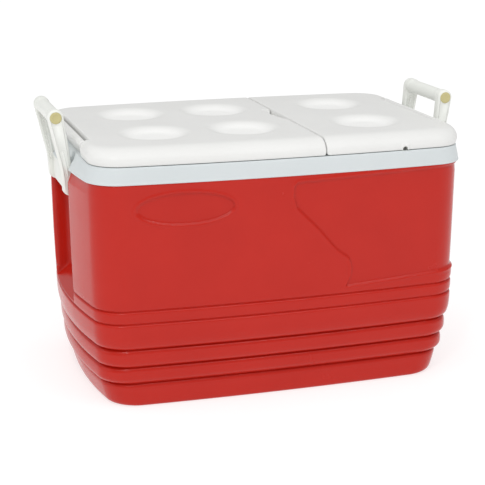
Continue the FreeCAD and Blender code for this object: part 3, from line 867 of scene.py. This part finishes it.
def build_lid(name, sign, seam, dishes, scoop, arch):
    end_y = [*range(0, 103, 6), 107, 111, 114.4, *NOTCH_Y, 120.4, 122, *tail(8)]
    extra = ()
    if arch:
        extra = (arch + np.linspace(-8.0, 8.0, 33) - seam - 2.6) / (ARCH_SPAN - seam - 2.6)
    front_n = int((250.0 - seam) / 2.4)
    plan = LidPlan(seam, front_n, 26, end_y, 171, extra)
    thick = SKIN_T

    def raised(ring, z, top, grow=0.0):
        u, y = ring[:, 0], ring[:, 1]
        face = top - lid_drop(u, y, dishes, scoop, grow)
        up = z - LID_BOTTOM
        foot = lid_foot(u, y, seam, arch) * max(0.0, 1.0 - up / 10.0)
        height = LID_BOTTOM + foot + up * (face - LID_BOTTOM) / (top - LID_BOTTOM)
        if arch and grow == 0.0:
            rim = smooth01((7.4 - np.abs(u - arch)) / 2.0) * smooth01((406.5 - height) / 2.0)
            y = np.where(y < -WALL_Y, y - 1.1 * rim, y)
        return np.column_stack((u, y, height))

    outer = [(plan.ring(r[1], r[2], r[3]), r[0]) for r in rounded(LID_ROWS, 2)]
    rings = []
    inner_rows = (
        (LID_TOP - thick, 26.0, 9.2, 2.0), (419.0, 16.5, 5.0, 0.6), (417.0, 11.0, 2.8, 0.2),
        (413.0, 5.6, 1.0, 0.0), (408.0, 2.1, 0.1, 0.0), (403.0, 0.4, 0.5, 0.0),
        (LID_BOTTOM, 0.4, 2.4, 0.0),
    )
    first = plan.ring(*inner_rows[0][1:], thick)
    top_in = LID_TOP - thick
    for ring in plan.inward(first, 6, 24)[::-1]:
        rings.append(raised(ring, top_in, top_in, thick))
    for z, in_y, in_x, in_s in inner_rows:
        rings.append(raised(plan.ring(in_y, in_x, in_s, thick), z, top_in, thick))
    for ring, z in outer:
        rings.append(raised(ring, z, LID_TOP))
    for ring in plan.inward(outer[-1][0], 13, 66):
        rings.append(raised(ring, LID_TOP, LID_TOP))
    for r in rings:
        r[:, 0] *= sign
    top = rings_to_solid(name + "_lid", rings, LID, tips=(False, False), flip=sign < 0,
                         merge=(0, len(rings) - 1))
    place(top, name + "_lid", name + "_lid_top")


# ---- handles ------------------------------------------------------------
class ArmPlan:
    """Outlines of one handle's arms in their own plane; s runs from the
    pivot to the grip. side is -1 for the left handle."""

    def __init__(self, side, grip_x):
        self.side = side
        self.length = math.hypot(grip_x - PIVOT_X, GRIP_Z - PIVOT_Z)
        self.ux = (grip_x - PIVOT_X) / self.length
        self.uz = (GRIP_Z - PIVOT_Z) / self.length

    def capsule(self, s0, s1, width, r0, r1):
        """Long outline with round ends; width holds one value per station."""
        s = np.linspace(s0, s1, len(width))
        bow = np.linspace(0, math.pi, 17)[1:-1]
        head = np.column_stack((s1 + r1 * np.sin(bow), r1 * np.cos(bow)))
        hub = np.column_stack((s0 - r0 * np.sin(bow), -r0 * np.cos(bow)))
        return np.vstack((np.column_stack((s, width)), head, np.column_stack((s, -width))[::-1], hub))

    def edge(self, inset):
        s = np.linspace(0, self.length, 25)
        towards_grip = np.clip((s - 35.0) / (self.length - 35.0), 0, 1)
        towards_hub = np.clip(1 - s / 34.0, 0, 1)
        width = 9.0 + 3.9 * towards_grip + 3.4 * towards_hub ** 1.5
        return self.capsule(0, self.length, width - inset, HUB_R - inset, HEAD_R - inset)

    def trough(self, s0, s1, w):
        return self.capsule(s0, s1, np.full(25, w), w, w)

    def ring(self, outline, y):
        x = PIVOT_X + self.ux * outline[:, 0] - self.uz * outline[:, 1]
        z = PIVOT_Z + self.uz * outline[:, 0] + self.ux * outline[:, 1]
        return np.column_stack((x * self.side, np.full(len(x), y), z))

    def arm(self, y_out, y_in):
        """Rings of an arm: faint low ribs outside, long ribs inside."""
        d = 1.0 if y_in > y_out else -1.0
        thick = abs(y_in - y_out)
        rows = []
        for w, depth in ((0.02, 0.35), (0.8, 0.35), (1.3, 1.0), (2.8, 1.0), (3.4, 0.5), (4.1, 1.0),
                         (5.0, 0.9), (5.6, 0.3), (6.0, 0.03)):
            rows.append((self.trough(21, 58, w), depth))
        for inset, depth in ((4.2, 0.0), (3.0, 0.12), (1.9, 0.55), (0.9, 1.4), (0.3, 2.6), (0.0, 4.2)):
            rows.append((self.edge(inset), depth))
        for inset, depth in ((0.0, 1.6), (0.2, 0.8), (0.6, 0.3), (1.4, 0.0)):
            rows.append((self.edge(inset), thick - depth))
        for w, depth in ((7.0, 0.0), (6.5, 0.5), (6.0, 1.5), (4.9, 1.5), (4.5, 0.3), (3.6, 0.3), (3.2, 1.5),
                         (1.6, 1.5), (1.2, 0.3), (0.02, 0.3)):
            rows.append((self.trough(26, self.length - 24, w), thick - depth))
        return [self.ring(outline, y_out + d * depth) for outline, depth in rows]


def lathe_y(profile, x, z):
    """Rings of a profile of (radius, y) turned about an axis along Y."""
    ang = np.linspace(0, 2 * math.pi, 64, endpoint=False)
    rings = []
    for r, y in profile:
        rings.append(np.column_stack((x + r * np.sin(ang), np.full(len(ang), y), z + r * np.cos(ang))))
    return rings


def solid_cut(obj, cutter):
    """Take a cutter out of a piece, for good."""
    mod = obj.modifiers.new("bore", "BOOLEAN")
    mod.operation = "DIFFERENCE"
    mod.solver = "EXACT"
    mod.object = cutter
    graph = bpy.context.evaluated_depsgraph_get()
    mesh = bpy.data.meshes.new_from_object(obj.evaluated_get(graph))
    obj.modifiers.clear()
    obj.data = mesh


def outward(obj):
    """Turn all faces of a closed piece outward."""
    bm = bmesh.new()
    bm.from_mesh(obj.data)
    bmesh.ops.recalc_face_normals(bm, faces=bm.faces)
    bm.to_mesh(obj.data)
    bm.free()


def build_handle(name, side, grip_x):
    x = side * grip_x
    bore_r = CORE_R + 0.05
    bore = lathe_y(((bore_r, -90.0), (bore_r, 90.0)), x, GRIP_Z)
    cutter = rings_to_solid("bore_" + name, bore, HANDLE)
    outward(cutter)
    plan = ArmPlan(side, grip_x)
    for tag, y_out, y_in in (("front", -ARM_OUT, -ARM_IN), ("back", ARM_OUT, ARM_IN)):
        arm = rings_to_solid(name + "_handle_arm_" + tag, plan.arm(y_out, y_in), HANDLE)
        outward(arm)
        solid_cut(arm, cutter)
        place(arm, name + "_handle", name + "_handle_frame")
    bpy.data.objects.remove(cutter)
    half = ARM_IN + 0.6
    profile = [(bore_r, -half), (HEAD_R, -half), (HEAD_R - 0.05, -half + 2.5), (HEAD_R - 0.3, -half + 4.5),
               (GRIP_R, -half + 7.5)]
    profile += [(GRIP_R, y) for y in np.linspace(-46, 46, 9)]
    profile += [(r, -y) for r, y in profile[4::-1]]
    sleeve = rings_to_solid(name + "_grip_sleeve", lathe_y(profile, x, GRIP_Z), HANDLE, loop=True)
    outward(sleeve)
    place(sleeve, name + "_handle", name + "_handle_frame")
    end = ARM_OUT + 0.6
    face = [(0.4, end - 0.5), (4.6, end - 0.5), (5.0, end - 0.35), (5.4, end - 0.05), (5.8, end), (8.2, end),
            (8.8, end - 0.15), (9.15, end - 0.5), (CORE_R, end - 1.1), (CORE_R, end - 12)]
    core_profile = [(r, -y) for r, y in face] + [(CORE_R, 0.0)] + [(r, y) for r, y in face[::-1]]
    core = rings_to_solid(name + "_grip_core_rod", lathe_y(core_profile, x, GRIP_Z), CREAM)
    outward(core)
    place(core, name + "_handle", name + "_grip_core")


build_shell()
build_collar()
build_lid("left", -1, -(SEAM_X - SEAM_GAP / 2), [-x for x in LEFT_DISH_X], True, 0.0)
build_lid("right", 1, SEAM_X + SEAM_GAP / 2, RIGHT_DISH_X, False, ARCH_X)
build_handle("left", -1, LEFT_GRIP_X)
build_handle("right", 1, RIGHT_GRIP_X)

carry("body_foam", FOAM)
carry("inner_liner", LINER)
for end_name in ("left", "right"):
    carry(end_name + "_lid_foam", FOAM)
    carry(end_name + "_lid_liner", LINER)
    carry(end_name + "_lid_hinge_rod", STEEL)
    carry(end_name + "_handle_pin_front", STEEL)
    carry(end_name + "_handle_pin_back", STEEL)


# ---- floor, light and camera --------------------------------------------
def floor_look(nodes, links, shader):
    clouds = noise_node(nodes, links, 3.0, 2.0)
    tone = ramp_node(nodes, links, clouds, ((0.3, (0.40, 0.40, 0.40)), (0.7, (0.42, 0.42, 0.42))))
    links.new(tone, shader.inputs["Base Color"])
    shader.inputs["Roughness"].default_value = 0.9
    shader.inputs["Specular IOR Level"].default_value = 0.1
    shader.inputs["Emission Color"].default_value = (1.0, 1.0, 1.0, 1)
    shader.inputs["Emission Strength"].default_value = 0.68


def build_stage():
    mesh = bpy.data.meshes.new("studio_floor")
    mesh.from_pydata([(-20, -20, 0), (20, -20, 0), (20, 20, 0), (-20, 20, 0)], [], [(0, 1, 2, 3)])
    floor = bpy.data.objects.new("studio_floor", mesh)
    bpy.context.scene.collection.objects.link(floor)
    mesh.materials.append(material("pale_floor", floor_look))


def area_light(name, at, aim, size, power):
    data = bpy.data.lights.new(name, "AREA")
    data.shape = "RECTANGLE"
    data.size, data.size_y = size
    data.energy = power
    lamp = bpy.data.objects.new(name, data)
    lamp.location = at
    lamp.rotation_euler = (Vector(aim) - Vector(at)).to_track_quat("-Z", "Y").to_euler()
    bpy.context.scene.collection.objects.link(lamp)


def build_light():
    world = bpy.data.worlds.new("studio")
    bpy.context.scene.world = world
    world.use_nodes = True
    background = world.node_tree.nodes["Background"]
    background.inputs["Color"].default_value = (1.0, 1.0, 1.0, 1)
    background.inputs["Strength"].default_value = 0.5
    data = bpy.data.lights.new("overhead", "SUN")
    data.energy = 1.17
    data.angle = math.radians(70)
    sun = bpy.data.objects.new("overhead", data)
    sun.rotation_euler = Vector((0.12, 0.25, -0.96)).to_track_quat("-Z", "Y").to_euler()
    bpy.context.scene.collection.objects.link(sun)
    for light in LIGHTS:
        area_light(*light)


def build_camera():
    data = bpy.data.cameras.new("camera")
    data.sensor_width = 36.0
    data.lens = 100.75
    data.clip_end = 100.0
    cam = bpy.data.objects.new("camera", data)
    az = math.radians(CAMERA_AZIMUTH)
    el = math.radians(CAMERA_ELEVATION)
    away = Vector((math.sin(az) * math.cos(el), -math.cos(az) * math.cos(el), math.sin(el)))
    cam.location = Vector(CAMERA_TARGET) + away * CAMERA_DISTANCE
    cam.rotation_euler = (-away).to_track_quat("-Z", "Y").to_euler()
    bpy.context.scene.collection.objects.link(cam)
    bpy.context.scene.camera = cam


build_stage()
build_light()
build_camera()
bpy.context.scene.view_settings.view_transform = "Standard"
